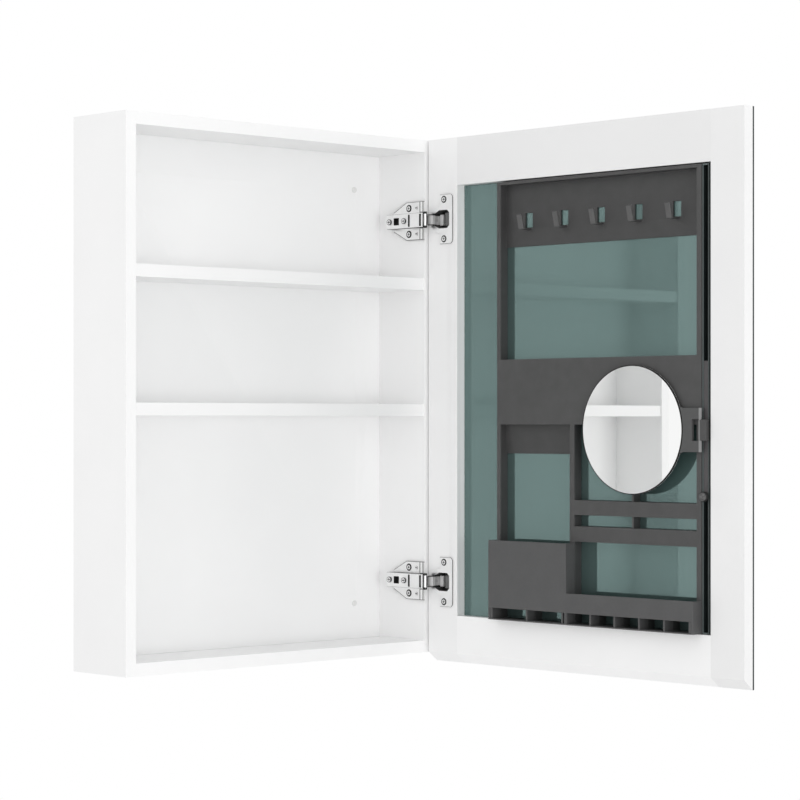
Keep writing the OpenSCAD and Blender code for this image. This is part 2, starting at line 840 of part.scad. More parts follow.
module organiser_frame() {
    color("dimgray") in_door() {
        difference() {
            by_depth(0, org_depth) organiser_outline(0);
            by_depth(org_face, org_depth + 1) organiser_outline(org_wall);
        }
        difference() {
            span([in_u0 - eps, panel_n0, hook_panel_z0], [in_u1 + eps, org_depth, hook_panel_z1 + eps]);
            for (i = [0 : hook_count - 1])
                span([hook_u(i) - hook_window_w / 2, 0, hook_window_z0],
                     [hook_u(i) + hook_window_w / 2, frame_t, hook_window_z1]);
        }
        for (i = [0 : hook_count - 1]) hook(hook_u(i));
        span([in_u0 - eps, panel_n0, left_panel_z0], [divider_u0 + eps, org_depth, band_z + eps]);
        for (z = [[bar_a_z1 - eps, band_z + eps], [bar_b_z1 - eps, bar_a_z0 + eps]])
            span([partition_u0, partition_n0, z[0]], [partition_u0 + partition_t, org_depth, z[1]]);
    }
}

module organiser_tray() {
    side_left = [org_u0 - 0.3, in_u0 - 0.3];
    side_right = [in_u1, org_u1 + 0.1];
    n1 = -0.05;
    pocket_u = divider_u1;
    color("dimgray") in_door() {
        span([side_left[0], -tray_out, cell_z1], [pocket_u, -tray_out + tray_wall, tray_left_top]);
        span([side_left[0], -tray_out, cell_z1], [side_right[1], -tray_out + tray_wall, tray_right_top]);
        span([side_left[0], -tray_out, org_z0], [side_left[0] + tray_wall, n1, tray_left_top]);
        span([pocket_u - tray_wall, -tray_out, org_z0], [pocket_u, n1, tray_left_top]);
        span([side_right[1] - tray_wall, -tray_out, org_z0], [side_right[1], n1, tray_right_top]);
        span([side_left[0], -tray_out, cell_z1], [side_right[1], n1, floor_z1]);
        span([side_left[0], -tray_out, org_z0], [side_right[1], n1, cell_z0]);
        for (c = cell_spans())
            span([c[1], -tray_out + 1, org_z0], [c[1] + cell_fin, n1, floor_z1]);
        span([side_left[0], -tray_out + 1, org_z0], [in_u0, n1, floor_z1]);
        span([in_u1, -tray_out + 1, org_z0], [side_right[1], n1, floor_z1]);
    }
}

// ---- Guide of the round mirror ----

module guide_channel() {
    z0 = org_z0 + channel_end;
    z1 = org_z1 - channel_end;
    color("black") in_door() difference() {
        span([channel_u0, channel_n0, org_z0], [channel_u1, org_depth, org_z1]);
        span([slot_u0, channel_n0 - 1, z0], [slot_u1, org_depth - channel_wall, z1]);
        span([channel_u0 + channel_wall, channel_n0 + channel_lip, z0],
             [channel_u1 - channel_wall, org_depth - channel_wall, z1]);
        span([slot_u1 + slot_edge, channel_n0 - 1, org_z0 - 1],
             [channel_u1 + 1, channel_n0 + channel_lip / 2, org_z1 + 1]);
    }
}

// The slider fills the slot of the channel and is held behind its lips by a flange.
module slider() {
    flange_t = 2;
    u0 = slot_u0 + part_gap;
    u1 = slot_u1 - part_gap;
    f0 = channel_u0 + channel_wall + 0.25;
    f1 = channel_u1 - channel_wall - part_gap;
    color("gray") in_door() difference() {
        translate([0, 0, slider_z0]) linear_extrude(slider_z1 - slider_z0) polygon([
            [u0, slider_n0], [u1, slider_n0], [u1, flange_n0], [f1, flange_n0],
            [f1, flange_n0 + flange_t], [f0, flange_n0 + flange_t], [f0, flange_n0], [u0, flange_n0]
        ]);
        bar_y([slot_u, 0, knob_z], knob_stem_d + 2 * running_gap, org_depth);
    }
}

// The knob screws into the slider: a round head over a neck that fits in the slot.
module lock_knob() {
    head_n = -0.3;
    head_t = 2.2;
    dome_rise = 5.2;
    dome_r = (pow(knob_d / 2, 2) + pow(dome_rise, 2)) / (2 * dome_rise);
    neck_d = 5.8;
    color("dimgray") in_door() translate([slot_u, head_n, knob_z]) rotate([90, 0, 0]) {
        rotate_extrude() {
            square([knob_d / 2, head_t]);
            intersection() {
                translate([0, head_t + dome_rise - dome_r]) circle(r = dome_r);
                translate([0, head_t - eps]) square([knob_d / 2, dome_rise + eps]);
            }
        }
        translate([0, 0, head_n - slider_n0 + fit_gap]) cylinder(d = neck_d, h = slider_n0 - head_n);
        translate([0, 0, head_n - flange_n0 - 3]) cylinder(d = knob_stem_d, h = flange_n0 + 3 - head_n);
    }
}

module slide_clip() {
    color("gray") in_door() difference() {
        union() {
            span([rod_u + 1, rod_n - knuckle_r, clip_z0],
                 [rod_u + clip_reach, channel_n0 - part_gap, clip_z1]);
            span([slot_u0 + part_gap, channel_n0 - 1, clip_z0],
                 [slot_u1 - part_gap, slider_n0 - fit_gap, clip_z1]);
            translate([rod_u, rod_n, clip_z0]) cylinder(r = knuckle_r, h = clip_z1 - clip_z0);
        }
        translate([rod_u, rod_n, clip_z0 - 1]) cylinder(d = rod_d, h = clip_z1 - clip_z0 + 2);
    }
}

module hinge_rod() {
    color("silver") in_door() translate([rod_u, rod_n, knuckle_z0])
        cylinder(d = rod_d, h = knuckle_z1 - knuckle_z0);
}

module mirror_arm() {
    notch_u0 = rod_u - clip_reach - 0.5;
    flare_len = 6;
    flare_h = 5;
    flare_z = knuckle_half - 5;
    leaf_n0 = rod_n - knuckle_r;
    leaf_n1 = rod_n + knuckle_r;
    leaf_rim = 2;
    reach = sqrt(pow(dish_d / 2 - 2, 2) - pow(knuckle_half, 2));
    color("dimgray") in_door() difference() {
        union() {
            translate([dish_u, dish_n1, dish_z]) rotate([90, 0, 0])
                cylinder(d = dish_d, h = dish_t + dish_glass_t, $fn = 120);
            span([dish_u + reach, leaf_n0, knuckle_z0], [rod_u, dish_n1, knuckle_z1]);
            span([notch_u0 - leaf_rim, leaf_n0, knuckle_z0], [rod_u, leaf_n1, knuckle_z1]);
            by_depth(leaf_n0, dish_n1) for (s = [-1, 1])
                translate([0, dish_z]) scale([1, s]) polygon([
                    [dish_u + reach - 4, flare_z], [dish_u + reach + flare_len, flare_z],
                    [dish_u + reach + flare_len, knuckle_half], [dish_u + reach - 4, knuckle_half + flare_h]
                ]);
            translate([rod_u, rod_n, knuckle_z0]) cylinder(r = knuckle_r, h = knuckle_z1 - knuckle_z0);
        }
        translate([dish_u, dish_n0, dish_z]) rotate([90, 0, 0])
            cylinder(d = dish_d - 2 * dish_rim, h = dish_glass_t + 1, $fn = 120);
        span([notch_u0, leaf_n0 - 1, clip_z0 - part_gap],
             [rod_u + knuckle_r + 1, leaf_n1 + 1, clip_z1 + part_gap]);
        translate([rod_u, rod_n, knuckle_z0 - 1])
            cylinder(d = rod_d + 2 * running_gap, h = knuckle_z1 - knuckle_z0 + 2);
    }
}

module round_mirror() {
    seat_gap = 0.1;
    color("whitesmoke") in_door() translate([dish_u, dish_n0 - 0.02, dish_z]) rotate([90, 0, 0])
        cylinder(d = dish_d - 2 * dish_rim - 2 * seat_gap, h = dish_glass_t - 0.02, $fn = 120);
}

left_side();
right_side();
top_board();
bottom_board();
back_panel();
upper_shelf();
lower_shelf();
case_dowels();
wall_screw_caps();
hinge_plates();
plate_screws();
hinge_arms();
arm_screws();
arm_pins();
outer_links();
inner_links();
hinge_stile();
free_stile();
top_rail();
bottom_rail();
rail_dowels();
front_mirror();
back_mirror();
hinge_cups();
cup_springs();
cup_screws();
organiser_frame();
organiser_tray();
guide_channel();
slider();
slide_clip();
hinge_rod();
lock_knob();
mirror_arm();
round_mirror();
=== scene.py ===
# %% [markdown]
# # A mirror cabinet with its door open
# The cabinet's construction comes ready made: boards, hinges, door and organiser, each one a named node
# in metres. This script adds what the eye meets: softened edges, finishes, a floor, light and a camera.
# The construction is loaded first, because the finishes below are placed by measuring its nodes.

# %% Load the construction
import json
import math
from collections import namedtuple

import bmesh
import bpy
import numpy as np
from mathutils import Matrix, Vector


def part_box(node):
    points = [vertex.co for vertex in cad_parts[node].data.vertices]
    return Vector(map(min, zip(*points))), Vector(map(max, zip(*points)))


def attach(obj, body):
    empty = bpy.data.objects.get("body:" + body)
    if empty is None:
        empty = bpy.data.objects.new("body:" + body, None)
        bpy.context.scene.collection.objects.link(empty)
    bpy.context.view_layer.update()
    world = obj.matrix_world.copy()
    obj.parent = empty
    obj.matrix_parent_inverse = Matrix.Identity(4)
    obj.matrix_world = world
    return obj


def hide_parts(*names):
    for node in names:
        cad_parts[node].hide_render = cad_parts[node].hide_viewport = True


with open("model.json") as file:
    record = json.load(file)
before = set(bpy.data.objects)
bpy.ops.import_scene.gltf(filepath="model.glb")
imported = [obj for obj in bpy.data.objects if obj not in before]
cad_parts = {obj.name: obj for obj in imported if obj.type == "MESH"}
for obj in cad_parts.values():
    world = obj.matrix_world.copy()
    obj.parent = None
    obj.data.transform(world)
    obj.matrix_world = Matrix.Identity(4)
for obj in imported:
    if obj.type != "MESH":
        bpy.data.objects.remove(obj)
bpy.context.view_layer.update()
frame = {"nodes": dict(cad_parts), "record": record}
MM = 0.001
behaviour = frame["record"]["behaviour"]
BODY_OF = {node: body for body, nodes in behaviour["bodies"].items() for node in nodes}
PIVOT_OF = {row["name"]: row["pos_m"] for row in behaviour["joints"] if "pos_m" in row}

# %% [markdown]
# ## The camera
# The photograph was taken from about three metres away, to the left of the cabinet and level with its
# middle. A camera that tilts makes upright edges lean together, and in the photograph they stay upright.
# So this camera is held level, and its sensor is shifted until the cabinet fills the frame. Its place,
# its lens and the point that it looks at came from fitting the corners of the case and the door.

# %% Set up the camera
IMAGE_SIDE_PX = 800
FOCAL_PX = 2586.45
OPTICAL_CENTRE_PX = (288.7, 421.13)
SENSOR_WIDTH_MM = 36.0
CAMERA_YAW = math.radians(42.18)
CAMERA_PLACE = (-2.09945, -2.41685, -0.03151)
FARTHEST_SEEN = 50.0

camera_data = bpy.data.cameras.new("cabinet_camera")
camera_data.sensor_width = SENSOR_WIDTH_MM
camera_data.lens = FOCAL_PX / IMAGE_SIDE_PX * SENSOR_WIDTH_MM
camera_data.shift_x = (IMAGE_SIDE_PX / 2 - OPTICAL_CENTRE_PX[0]) / IMAGE_SIDE_PX
camera_data.shift_y = (OPTICAL_CENTRE_PX[1] - IMAGE_SIDE_PX / 2) / IMAGE_SIDE_PX
camera_data.clip_end = FARTHEST_SEEN
camera = bpy.data.objects.new("cabinet_camera", camera_data)
camera.location = CAMERA_PLACE
camera.rotation_euler = (math.pi / 2, 0.0, -CAMERA_YAW)
bpy.context.scene.collection.objects.link(camera)
bpy.context.scene.camera = camera
print("lens mm:", round(camera_data.lens, 2))
print("shift:", round(camera_data.shift_x, 4), round(camera_data.shift_y, 4))

# %% [markdown]
# ## Short calls for node trees
# In Blender a finish is a tree of small nodes, and so is the light of the world. Drawn by hand they are
# boxes and wires, and written out in a script they fill pages. Two small classes keep them short. The
# first adds a node, sets its sockets and links what feeds it, and has plain names for the sums that make
# masks. A mask is a number for each point of a surface: 1 where something shows and 0 where it doesn't.


# %% Node trees
class NodeTree:
    """Short calls that add nodes to a tree and link them."""

    def __init__(self, tree):
        self.tree = tree

    def node(self, kind, inputs=None, **properties):
        """Adds a node. Its inputs are numbers or colours to set, or sockets to link."""
        made = self.tree.nodes.new(kind)
        for key, value in properties.items():
            setattr(made, key, value)
        for key, value in (inputs or {}).items():
            if isinstance(value, bpy.types.NodeSocket):
                self.tree.links.new(value, made.inputs[key])
            else:
                made.inputs[key].default_value = value
        return made

    def math(self, operation, first, second=0.0, third=0.0):
        """One sum or comparison of numbers or sockets."""
        inputs = {0: first, 1: second, 2: third}
        return self.node("ShaderNodeMath", inputs, operation=operation).outputs["Value"]

    def product(self, first, second):
        """first times second, which for two masks is 1 where both are."""
        return self.math("MULTIPLY", first, second)

    def larger(self, first, second):
        """The larger of the two, which for two masks is 1 where either is."""
        return self.math("MAXIMUM", first, second)

    def minus(self, first, second):
        """first less second."""
        return self.math("SUBTRACT", first, second)

    def over(self, value, limit):
        """1 where the value is over the limit."""
        return self.math("GREATER_THAN", value, limit)

    def under(self, value, limit):
        """1 where the value is under the limit."""
        return self.math("LESS_THAN", value, limit)

    def about(self, value, middle, reach):
        """1 where the value is no further than the reach from the middle."""
        return self.math("COMPARE", value, middle, reach)

    def squares(self, first, second):
        """first^2 + second^2."""
        return self.math("MULTIPLY_ADD", second, second, self.product(first, first))

    def looked_at(self):
        """1 for a ray from the camera or off something glossy, and 0 for a ray that spreads light."""
        rays = self.node("ShaderNodeLightPath").outputs
        return self.larger(rays["Is Camera Ray"], rays["Is Glossy Ray"])

    def mix_into(self, output, weight, first, second):
        """Sends the output the first shader where the weight is 0, and the second where it is 1."""
        mixed = self.node("ShaderNodeMixShader", {"Fac": weight, 1: first, 2: second})
        self.tree.links.new(mixed.outputs["Shader"], output.inputs["Surface"])


print("calls for node trees:", len([name for name in vars(NodeTree) if name[0] != "_"]))

# %% [markdown]
# ## What a finish is made of
# A real surface is never one flat colour. Its shade, its gloss and its relief each vary a little, at
# sizes of their own. A painted picture could hold all three, but it would have to be drawn and wrapped
# round every piece. Noise worked out from a point's place needs neither. It reads Object coordinates, so
# that the grain stays with its piece when the door swings. Most of a noise lies between 0.3 and 0.7, so
# that stretch is spread over the whole effect.

# %% Surfaces that a finish can mix
# A surface is two close shades, how metallic it is and how rough. The Mix node has sockets for numbers,
# vectors and colours, and these are the ones for colours.
Surface = namedtuple("Surface", "dark light metallic roughness")
COLOUR_A, COLOUR_B, COLOUR_MIXED = 6, 7, 2
NOISE_LOW, NOISE_HIGH = 0.3, 0.7
DRIFT_SCALE = 60.0
print("a surface is", Surface._fields)


# %% Finishes
class Finish(NodeTree):
    """A material, its shader, and short calls for what drives the shader."""

    def __init__(self, name):
        self.material = bpy.data.materials.new(name)
        self.material.use_nodes = True
        super().__init__(self.material.node_tree)
        self.shader = self.tree.nodes["Principled BSDF"]
        self.coordinates = self.node("ShaderNodeTexCoord").outputs["Object"]

    def set(self, **values):
        """Sets constants on the shader itself, with underscores for the spaces in a socket's name."""
        for key, value in values.items():
            self.shader.inputs[key.replace("_", " ")].default_value = value
        return self

    def feed(self, socket, source):
        """Links a source to one of the shader's sockets."""
        self.tree.links.new(source, self.shader.inputs[socket])
        return self

    def axis(self, letter):
        """One coordinate of the point, in metres."""
        return self.node("ShaderNodeSeparateXYZ", {"Vector": self.coordinates}).outputs[letter]

    def past(self, letter, place):
        """How far the point lies past a place on an axis, in metres."""
        return self.minus(self.axis(letter), place)

    def near_axis(self, x, y, radius):
        """1 near an upright axis: where (point x - x)^2 + (point y - y)^2 is under the radius squared."""
        return self.under(self.squares(self.past("X", x), self.past("Y", y)), radius * radius)

    def noise(self, scale, detail=3.0, roughness=0.55, vector=None):
        """Cloudy noise with that many features a metre."""
        inputs = {"Vector": vector or self.coordinates, "Scale": scale, "Detail": detail,
                  "Roughness": roughness}
        return self.node("ShaderNodeTexNoise", inputs).outputs["Fac"]

    def streaks(self, scales, detail, roughness):
        """Noise with its own number of features a metre along X, Y and Z, so that it is long one way."""
        stretched = self.node("ShaderNodeMapping", {"Vector": self.coordinates, "Scale": scales})
        return self.noise(1.0, detail, roughness, stretched.outputs["Vector"])

    def span(self, noise, low, high):
        """A number from low to high as the noise goes from NOISE_LOW to NOISE_HIGH."""
        inputs = {"Value": noise, "From Min": NOISE_LOW, "From Max": NOISE_HIGH, "To Min": low,
                  "To Max": high}
        return self.node("ShaderNodeMapRange", inputs).outputs["Result"]

    def shades(self, noise, dark, light):
        """A colour from dark to light as the noise goes from NOISE_LOW to NOISE_HIGH."""
        ramp = self.node("ShaderNodeValToRGB", {"Fac": noise})
        for stop, place, shade in zip(ramp.color_ramp.elements, (NOISE_LOW, NOISE_HIGH), (dark, light)):
            stop.position = place
            stop.color = (*shade, 1.0)
        return ramp.outputs["Color"]

    def bump(self, height, distance):
        """Raises the surface by that distance in metres where height is 1."""
        raised = self.node("ShaderNodeBump", {"Height": height, "Distance": distance, "Strength": 1.0})
        return self.feed("Normal", raised.outputs["Normal"])

    def blend(self, mask, low, high):
        """Mixes two surfaces: low * (1 - mask) + high * mask. What both share is set on the shader."""
        drift = self.noise(DRIFT_SCALE)
        inputs = {"Factor": mask, COLOUR_A: self.shades(drift, low.dark, low.light),
                  COLOUR_B: self.shades(drift, high.dark, high.light)}
        mixed = self.node("ShaderNodeMix", inputs, data_type="RGBA")
        self.feed("Base Color", mixed.outputs[COLOUR_MIXED])
        for socket, start, end in zip(("Metallic", "Roughness"), low[2:], high[2:]):
            if start == end:
                self.set(**{socket: start})
            else:
                between = self.node("ShaderNodeMapRange", {"Value": mask, "To Min": start, "To Max": end})
                self.feed(socket, between.outputs["Result"])
        return self


print("calls for finishes:", len([name for name in vars(Finish) if name[0] != "_"]))

# %% [markdown]
# ## White board
# The case and the door are board with a white laminate. A real laminate isn't mirror flat: it shows a
# faint orange peel, and its gloss varies a little from place to place. Plain white would look like paper.
# So the colour drifts over a hand's breadth, the gloss over some millimetres, and the peel is less than a
# millimetre wide. The scales below are in features a metre. The case is the brightest. The door's bottom
# rail takes the case's white as painted light, and the door's free stile and top rail are darker copies of
# the door's white as painted shade.

# %% White laminate
LIGHTER = 1.15
BOARD_DRIFT, BOARD_SHEEN, BOARD_PEEL = 9.0, 160.0, 1500.0
BOARD_ROUGH = (0.34, 0.46)
PEEL_DEPTH = 0.012 * MM


def grey(dark, light=None):
    """Two neutral shades from their brightness. Unless it is given, the lighter is LIGHTER * dark."""
    return (dark,) * 3, (light or LIGHTER * dark,) * 3


def white_laminate(name, dark, light):
    """Laminate: shade, roughness and height follow three noises, at the three scales named above."""
    finish = Finish(name).set(Specular_IOR_Level=0.4)
    finish.feed("Base Color", finish.shades(finish.noise(BOARD_DRIFT, detail=2.0), dark, light))
    finish.feed("Roughness", finish.span(finish.noise(BOARD_SHEEN, detail=4.0), *BOARD_ROUGH))
    return finish.bump(finish.noise(BOARD_PEEL, detail=2.0), PEEL_DEPTH).material


case_and_lit_rail_white = white_laminate("case_white_laminate", *grey(0.965, 0.985))
door_white = white_laminate("door_white_laminate", *grey(0.93, 0.95))
# The free stile and top rail are darker copies of the door's white: painted shade.
free_stile_shaded_white = white_laminate("free_stile_laminate", *grey(0.88, 0.9))
top_rail_shaded_white = white_laminate("top_rail_laminate", *grey(0.86, 0.88))
cap_white = white_laminate("cap_white_plastic", (0.8, 0.8, 0.79), (0.84, 0.84, 0.83))
whites = (case_and_lit_rail_white, door_white, free_stile_shaded_white, top_rail_shaded_white, cap_white)
print("white finishes:", [white.name for white in whites])

# %% [markdown]
# ## Glass and silver
# A mirror is seen as its silver: a metal with hardly any roughness. Modelling the glass in front of it
# too would cost many more rays of light and change little. The tinted mirror inside the door has a
# grey-green silver, which colours all that it reflects. It is only part metal, so that it also scatters a
# little of its own colour. The outer mirror's edges are ground and painted dark, so its finish mixes
# paint and silver by how deep the point lies.

# %% Mirror finishes
SILVER_DEPTH = 0.4 * MM
SILVER_DRIFT, SILVER_CLOUDS = 5.0, 14.0
SILVER_HAZE = (0.008, 0.02)
DIMMED = 0.985


def silvered(name, tint, metallic=1.0):
    """Silver behind glass: a metal whose colour goes from DIMMED * tint to tint, with a breath of haze."""
    finish = Finish(name).set(Metallic=metallic, Specular_IOR_Level=0.5)
    dark = tuple(DIMMED * part for part in tint)
    finish.feed("Base Color", finish.shades(finish.noise(SILVER_DRIFT, detail=2.0), dark, tint))
    finish.feed("Roughness", finish.span(finish.noise(SILVER_CLOUDS, detail=5.0), *SILVER_HAZE))
    return finish.material


def door_mirror(name, face_x):
    """The outer mirror: silver where x is over face_x - SILVER_DEPTH, and dark paint behind."""
    finish = Finish(name)
    at_face = finish.over(finish.axis("X"), face_x - SILVER_DEPTH)
    paint = Surface((0.022, 0.03, 0.03), (0.032, 0.042, 0.042), metallic=0.0, roughness=0.4)
    silver = Surface((0.86, 0.875, 0.875), (0.88, 0.895, 0.895), metallic=1.0, roughness=0.012)
    return finish.blend(at_face, paint, silver).material


mirror_face_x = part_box("front_mirror")[1].x
outer_mirror = door_mirror("outer_door_mirror", mirror_face_x)
tinted_mirror = silvered("tinted_inner_mirror", (0.163, 0.245, 0.236), metallic=0.65)
clear_mirror = silvered("round_mirror_silver", (0.93, 0.935, 0.93))
print("outer mirror's face at x =", round(mirror_face_x, 4))

# %% [markdown]
# ## Moulded plastic
# The organiser is dark grey plastic with the fine grain of its mould. The grain is what keeps such a part
# from looking like paint. Real grain could be cut into the mesh, but it would take millions of faces. A
# bump of two hundredths of a millimetre turns the light in the same way, and the gloss breaks up with it.

# %% Plastic with the mould's grain
GRAIN_SCALE = 2600.0
GRAIN_DEPTH = 0.02 * MM
PLASTIC_GLOSS = 0.45
PLASTIC_DRIFT, PLASTIC_SHEEN = 40.0, 300.0
PLAIN_ROUGH, HIGHLIT_ROUGH = 0.56, 0.48


def grained(name, gloss=PLASTIC_GLOSS, scale=GRAIN_SCALE, depth=GRAIN_DEPTH):
    """A finish with that specular level, whose height is a sharp fine noise times the depth."""
    finish = Finish(name).set(Specular_IOR_Level=gloss)
    return finish.bump(finish.noise(scale, detail=4.0, roughness=0.7), depth)


def moulded(name, dark, light, rough=(0.5, 0.62)):
    """Plain moulded plastic: its shade drifts over centimetres and its roughness over millimetres."""
    finish = grained(name)
    finish.feed("Base Color", finish.shades(finish.noise(PLASTIC_DRIFT), dark, light))
    finish.feed("Roughness", finish.span(finish.noise(PLASTIC_SHEEN, detail=4.0), *rough))
    return finish.material


def painted_light_where(name, mask_of, plain, highlit):
    """Plastic with painted light: plain * (1 - mask) + highlit * mask, where mask_of makes the mask."""
    finish = grained(name)
    low = Surface(*plain, metallic=0.0, roughness=PLAIN_ROUGH)
    high = Surface(*highlit, metallic=0.0, roughness=HIGHLIT_ROUGH)
    return finish.blend(mask_of(finish), low, high).material


# The tray is paler than the organiser's face: painted light where it stands forward.
tray_lit_grey = moulded("tray_grey_plastic", (0.08, 0.08, 0.081), (0.088, 0.088, 0.089))
slider_grey = moulded("slider_grey_plastic", (0.066, 0.062, 0.064), (0.078, 0.073, 0.076),
                      rough=(0.42, 0.52))
print("plain plastics:", tray_lit_grey.name, slider_grey.name)

# %% [markdown]
# ## The organiser, lit by depth
# The organiser is one moulding, yet its hooks carry painted light, paler than its face, and the walls
# behind the face carry painted shade. Three materials on one mesh would need its faces sorted. Its front
# is flat, so one finish does it by depth: the tray stands on the organiser's face, and so the tray's back
# tells where that face is.

# %% Organiser finish
HOOKS_PROUD = 0.8 * MM
FACE_RIM = 2.0 * MM
FACE_TONE = 0.3
organiser_face_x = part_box("organiser_tray")[1].x


def by_depth(finish):
    """1 proud of the organiser's face, FACE_TONE from it down to FACE_RIM, else 0: painted light and shade.
    """
    proud = finish.under(finish.axis("X"), organiser_face_x - HOOKS_PROUD)
    front = finish.under(finish.axis("X"), organiser_face_x + FACE_RIM)
    return finish.math("MULTIPLY_ADD", proud, 1.0 - FACE_TONE, finish.product(front, FACE_TONE))


# The pale tone is painted light on the hooks and face; the dark tone is painted shade behind them.
organiser_grey = painted_light_where("organiser_grey_plastic", by_depth, grey(0.051), grey(0.088))
print("organiser's face at x =", round(organiser_face_x, 4))

# %% [markdown]
# ## Channel, clip and knob
# The strip slides in an upright channel of near-black plastic, whose front lips carry a painted highlight.
# The clip holds an upright rod, and a painted highlight lies on its rounded knuckle. The knob has a
# stippled face in a painted shadow round its rim. Each of these is a change of tone at a place that can be
# measured: a face, an axis, a radius. So each is a mask.

# %% Channel
LIP_SKIN = 0.2 * MM
FAR_LIP_TONE = 0.4


def channel_plastic(name):
    """Near-black plastic; painted highlight 1 on the lip by the organiser, FAR_LIP_TONE on the other."""
    low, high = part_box("guide_channel")
    finish = grained(name)
    lip = finish.under(finish.axis("X"), low.x + LIP_SKIN)
    near = finish.over(finish.axis("Y"), (low.y + high.y) / 2)
    tone = finish.math("MULTIPLY_ADD", near, 1.0 - FAR_LIP_TONE, FAR_LIP_TONE)
    plain = Surface((0.016, 0.022, 0.022), (0.022, 0.03, 0.03), metallic=0.0, roughness=0.4)
    highlit = Surface((0.11, 0.135, 0.135), (0.125, 0.15, 0.15), metallic=0.0, roughness=0.4)
    # The lips' pale tone is a painted highlight.
    return finish.blend(finish.product(lip, tone), plain, highlit).material


channel_black = channel_plastic("channel_black_plastic")
print("channel:", channel_black.name)

# %% Clip round the rod
KNUCKLE_REACH = 2.1 * MM
rod_low, rod_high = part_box("hinge_rod")
rod_x, rod_y = (rod_low.x + rod_high.x) / 2, (rod_low.y + rod_high.y) / 2


def on_knuckle(finish):
    """1 within KNUCKLE_REACH of the rod's axis, where a painted highlight lies on the knuckles."""
    return finish.near_axis(rod_x, rod_y, KNUCKLE_REACH)


# The clip's pale knuckle is a painted highlight.
clip_grey = painted_light_where("clip_grey_plastic", on_knuckle, grey(0.062), grey(0.2))
print("rod's axis at x, y =", round(rod_x, 4), round(rod_y, 4))

# %% Knob
KNOB_FACE = 0.9
KNOB_GRAIN, KNOB_DEPTH = 1400.0, 0.2 * MM
STIPPLE_SCALE, STIPPLE_TONES = 480.0, (0.3, 1.0)


def knob_plastic(name, low, high):
    """Grey plastic: stippled where (dy^2 + dz^2) < (KNOB_FACE * radius)^2, painted shadow round it."""
    finish = grained(name, gloss=0.3, scale=KNOB_GRAIN, depth=KNOB_DEPTH)
    across = finish.past("Y", (low.y + high.y) / 2)
    along = finish.past("Z", (low.z + high.z) / 2)
    radius = (high.z - low.z) / 2
    face = finish.under(finish.squares(across, along), (KNOB_FACE * radius) ** 2)
    stipple = finish.span(finish.noise(STIPPLE_SCALE, detail=2.0), *STIPPLE_TONES)
    # Round the stippled face the knob is dark: painted shadow.
    dark = Surface(*grey(0.022), metallic=0.0, roughness=0.5)
    pale = Surface(*grey(0.14), metallic=0.0, roughness=0.5)
    return finish.blend(finish.product(face, stipple), dark, pale).material


knob_grey = knob_plastic("knob_grey_plastic", *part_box("lock_knob"))
print("knob:", knob_grey.name)

# %% [markdown]
# ## The round mirror's arm
# The arm ends in a round dish that holds the mirror. The dish is nearly black round the glass, the arm is
# dark grey, and a painted highlight makes its knuckles at the rod paler. The dish's back, which shows in the
# tinted mirror, has a pale foil, painted paler still as painted light against the shade behind the disc.
# One mesh carries it all, so its mask has four tones: 0 for the dish, a little more for the arm and for the
# knuckles, and 1 for the foil. The largest one wins where two of them meet.

# %% Mirror arm
DISH_RIM = 1.8 * MM
DISH_FLOOR = 0.6 * MM
KNUCKLE_TONE = 0.28
PLAIN_TONE = 0.095


def arm_plastic(name, glass):
    """1 on the dish's back, 0 on the rest, KNUCKLE_TONE (painted highlight) by the rod, else PLAIN_TONE."""
    low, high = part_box(glass)
    middle = (high.x, (low.y + high.y) / 2, (low.z + high.z) / 2)
    finish = grained(name, gloss=0.15)
    away = finish.node("ShaderNodeVectorMath", {0: finish.coordinates, 1: middle}, operation="DISTANCE")
    in_dish = finish.under(away.outputs["Value"], (high.z - low.z) / 2 + DISH_RIM)
    # The foil's pale tone is partly painted light against the shade behind the disc.
    foil_and_painted_light = finish.product(in_dish, finish.over(finish.axis("X"), high.x + DISH_FLOOR))
    plain = finish.math("MULTIPLY_ADD", in_dish, -PLAIN_TONE, PLAIN_TONE)
    # KNUCKLE_TONE is a painted highlight on the knuckles.
    tone = finish.larger(plain, finish.product(on_knuckle(finish), KNUCKLE_TONE))
    dark = Surface(*grey(0.012, 0.014), metallic=0.0, roughness=0.48)
    pale = Surface((0.9, 0.91, 0.91), (0.94, 0.95, 0.95), metallic=0.0, roughness=0.5)
    return finish.blend(finish.larger(foil_and_painted_light, tone), dark, pale).material


arm_grey = arm_plastic("mirror_arm_plastic", "round_mirror")
print("mirror arm:", arm_grey.name)

# %% [markdown]
# ## Plated steel
# The hinges are pressed from steel sheet and plated with nickel. The press leaves a fine grain on the
# faces, and fine lines along its stroke on the sides that it turns down. An anisotropic shader would
# stretch the highlights but show neither. One noise that is stretched along X, the way of the stroke,
# gives both with a bump: its features are 3 mm long and a sixth of a millimetre wide.

# %% Pressed and plated steel
PRESSED_SCALES = (300.0, 6000.0, 6000.0)
PRESSED_DEPTH = 0.003 * MM
PIN_DEPTH = 0.004 * MM
STEEL_DRIFT, STEEL_SHEEN = 90.0, 250.0


def pressed(name, depth=PRESSED_DEPTH):
    """A finish whose height is a noise stretched along X, times the depth."""
    finish = Finish(name)
    return finish.bump(finish.streaks(PRESSED_SCALES, detail=3.0, roughness=0.6), depth)


def plated(name, dark, light, rough):
    """Plain steel for pin and rod: its shade drifts over a centimetre, its roughness over millimetres."""
    finish = pressed(name, PIN_DEPTH).set(Metallic=1.0)
    finish.feed("Base Color", finish.shades(finish.noise(STEEL_DRIFT), dark, light))
    finish.feed("Roughness", finish.span(finish.noise(STEEL_SHEEN, detail=4.0), *rough))
    return finish.material


pin_steel = plated("dark_plated_steel", (0.03, 0.03, 0.031), (0.045, 0.045, 0.046), (0.35, 0.45))
rod_steel = plated("rod_steel", *grey(0.5, 0.6), (0.2, 0.32))
print("plain steels:", pin_steel.name, rod_steel.name)

